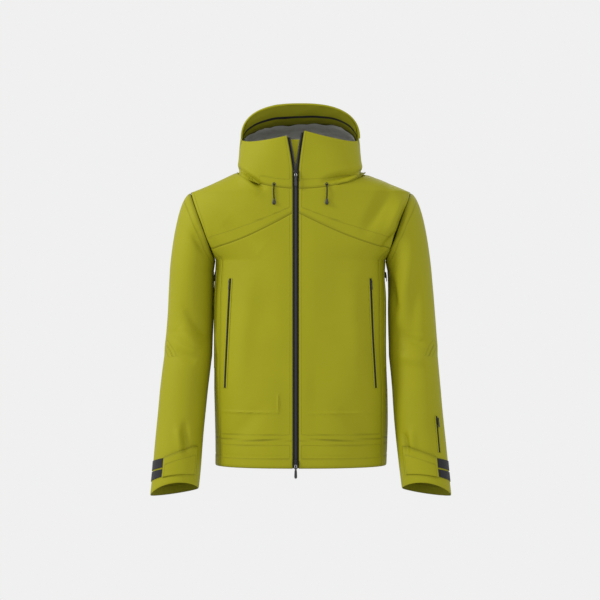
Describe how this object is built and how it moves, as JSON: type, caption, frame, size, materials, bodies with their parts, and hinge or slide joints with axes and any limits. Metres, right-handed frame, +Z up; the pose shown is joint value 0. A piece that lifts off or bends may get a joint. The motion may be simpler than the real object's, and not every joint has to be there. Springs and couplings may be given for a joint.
{
  "type": "ski jacket",
  "caption": "Hooded waterproof ski shell jacket with a two-way front zip, hand pockets, underarm vents, a forearm pocket, cuff tabs and a snow skirt.",
  "frame": {"origin": "on the centre plane, level with the side points of the neck, where the wearer's or a hanger's shoulders hold the jacket", "axes": "+Z up, -Y is the front, +X is the wearer's left"},
  "size_m": [0.7178, 0.2761, 0.9357],
  "materials": {
    "shell_fabric": "matte fine woven laminate, olive green",
    "dark_facing": "matte, dark olive",
    "grey_lining": "crinkled grey backer",
    "black_trim": "braided black",
    "zip_black": "coated black zip tape and elements",
    "hook_and_loop": "black hook and loop pile",
    "toggle_plastic": "matte black",
    "zip_metal": "black painted die casting"
  },
  "bodies": {
    "torso": {"back_body": "shell_fabric", "back_yoke": "shell_fabric", "chin_flap": "shell_fabric", "collar_left": "shell_fabric", "collar_lining_left": "grey_lining", "collar_lining_right": "grey_lining", "collar_right": "shell_fabric", "front_body_left": "shell_fabric", "front_body_right": "shell_fabric", "front_yoke_left": "shell_fabric", "front_yoke_right": "shell_fabric", "front_zip_tape_left": "zip_black", "front_zip_tape_right": "zip_black", "front_zip_teeth_left": "zip_black", "front_zip_teeth_right": "zip_black", "hand_pocket_bag_left": "dark_facing", "hand_pocket_bag_right": "dark_facing", "hand_pocket_left_tape": "zip_black", "hand_pocket_right_tape": "zip_black", "hang_loop": "black_trim", "hood_cord_left": "black_trim", "hood_cord_right": "black_trim", "hood_cord_toggle_left": "toggle_plastic", "hood_cord_toggle_right": "toggle_plastic", "side_panel_left": "shell_fabric", "side_panel_right": "shell_fabric", "snow_skirt": "dark_facing", "underarm_vent_left_tape": "zip_black", "underarm_vent_right_tape": "zip_black"},
    "tab_left": {"cuff_tab_left": "shell_fabric"},
    "tab_right": {"cuff_tab_right": "shell_fabric"},
    "lower_arm_left": {"forearm_left": "shell_fabric", "forearm_pocket_bag": "dark_facing", "forearm_pocket_tape": "zip_black", "loop_strip_lower_left": "hook_and_loop", "loop_strip_upper_left": "hook_and_loop"},
    "forearm_pocket_slide": {"forearm_pocket_slider": "zip_metal"},
    "lower_arm_right": {"forearm_right": "shell_fabric", "loop_strip_lower_right": "hook_and_loop", "loop_strip_upper_right": "hook_and_loop"},
    "pocket_slide_left": {"hand_pocket_left_slider": "zip_metal"},
    "pocket_slide_right": {"hand_pocket_right_slider": "zip_metal"},
    "hood": {"hood_brim": "shell_fabric", "hood_centre": "shell_fabric", "hood_lining": "grey_lining", "hood_rim_binding": "black_trim", "hood_rim_facing": "dark_facing", "hood_side_left": "shell_fabric", "hood_side_right": "shell_fabric"},
    "lower_pull_body": {"lower_pull": "zip_metal"},
    "lower_slider_body": {"lower_slider": "zip_metal"},
    "vent_slide_left": {"underarm_vent_left_slider": "zip_metal"},
    "vent_slide_right": {"underarm_vent_right_slider": "zip_metal"},
    "upper_pull_body": {"upper_pull": "zip_metal"},
    "upper_arm_left": {"upper_sleeve_left": "shell_fabric"},
    "upper_arm_right": {"upper_sleeve_right": "shell_fabric"},
    "upper_slider_body": {"upper_slider": "zip_metal"}
  },
  "joints": [
    {"name": "shoulder_left", "type": "hinge", "parent": "torso", "child": "upper_arm_left", "pos_m": [0.2655, 0, -0.048], "axis": [0, -1, 0], "range_deg": [0, 60]},
    {"name": "shoulder_right", "type": "hinge", "parent": "torso", "child": "upper_arm_right", "pos_m": [-0.2655, 0, -0.048], "axis": [0, 1, 0], "range_deg": [0, 60]},
    {"name": "elbow_left", "type": "hinge", "parent": "upper_arm_left", "child": "lower_arm_left", "pos_m": [0.26877, -0.07195, -0.38242], "axis": [-1, 0, -0.0065], "range_deg": [0, 65]},
    {"name": "elbow_right", "type": "hinge", "parent": "upper_arm_right", "child": "lower_arm_right", "pos_m": [-0.26877, -0.07195, -0.38242], "axis": [-1, 0, 0.0065], "range_deg": [0, 65]},
    {"name": "hood_fold", "type": "hinge", "parent": "torso", "child": "hood", "pos_m": [0, 0.0938, -0.004], "axis": [-1, 0, 0], "range_deg": [0, 55]},
    {"name": "upper_slider_travel", "type": "slide", "parent": "torso", "child": "upper_slider_body", "axis": [0, -0.0345, -0.9994], "range_m": [0, 0.45]},
    {"name": "upper_pull_swing", "type": "hinge", "parent": "upper_slider_body", "child": "upper_pull_body", "pos_m": [-0.011, -0.1137, -0.009], "axis": [-1, 0, 0], "range_deg": [0, 90]},
    {"name": "lower_slider_travel", "type": "slide", "parent": "torso", "child": "lower_slider_body", "axis": [0, 0.0345, 0.9994], "range_m": [0, 0.15]},
    {"name": "lower_pull_swing", "type": "hinge", "parent": "lower_slider_body", "child": "lower_pull_body", "pos_m": [-0.011, -0.1372, -0.692], "axis": [-1, 0, 0], "range_deg": [0, 90]},
    {"name": "hand_pocket_travel_left", "type": "slide", "parent": "torso", "child": "pocket_slide_left", "axis": [0.0501, 0.0087, -0.9987], "range_m": [0, 0.235]},
    {"name": "underarm_vent_travel_left", "type": "slide", "parent": "torso", "child": "vent_slide_left", "axis": [0.0167, 0, -0.9999], "range_m": [0, 0.21]},
    {"name": "hand_pocket_travel_right", "type": "slide", "parent": "torso", "child": "pocket_slide_right", "axis": [-0.0501, 0.0087, -0.9987], "range_m": [0, 0.235]},
    {"name": "underarm_vent_travel_right", "type": "slide", "parent": "torso", "child": "vent_slide_right", "axis": [-0.0167, 0, -0.9999], "range_m": [0, 0.21]},
    {"name": "forearm_pocket_travel", "type": "slide", "parent": "lower_arm_left", "child": "forearm_pocket_slide", "axis": [0.0807, -0.1502, -0.9854], "range_m": [0, 0.064]},
    {"name": "cuff_tab_lift_left", "type": "hinge", "parent": "lower_arm_left", "child": "tab_left", "pos_m": [0.24525, -0.09439, -0.68849], "axis": [0.0906, -0.1644, -0.9822], "range_deg": [0, 80]},
    {"name": "cuff_tab_lift_right", "type": "hinge", "parent": "lower_arm_right", "child": "tab_right", "pos_m": [-0.24525, -0.09439, -0.68849], "axis": [0.0906, 0.1644, 0.9822], "range_deg": [0, 80]}
  ]
}
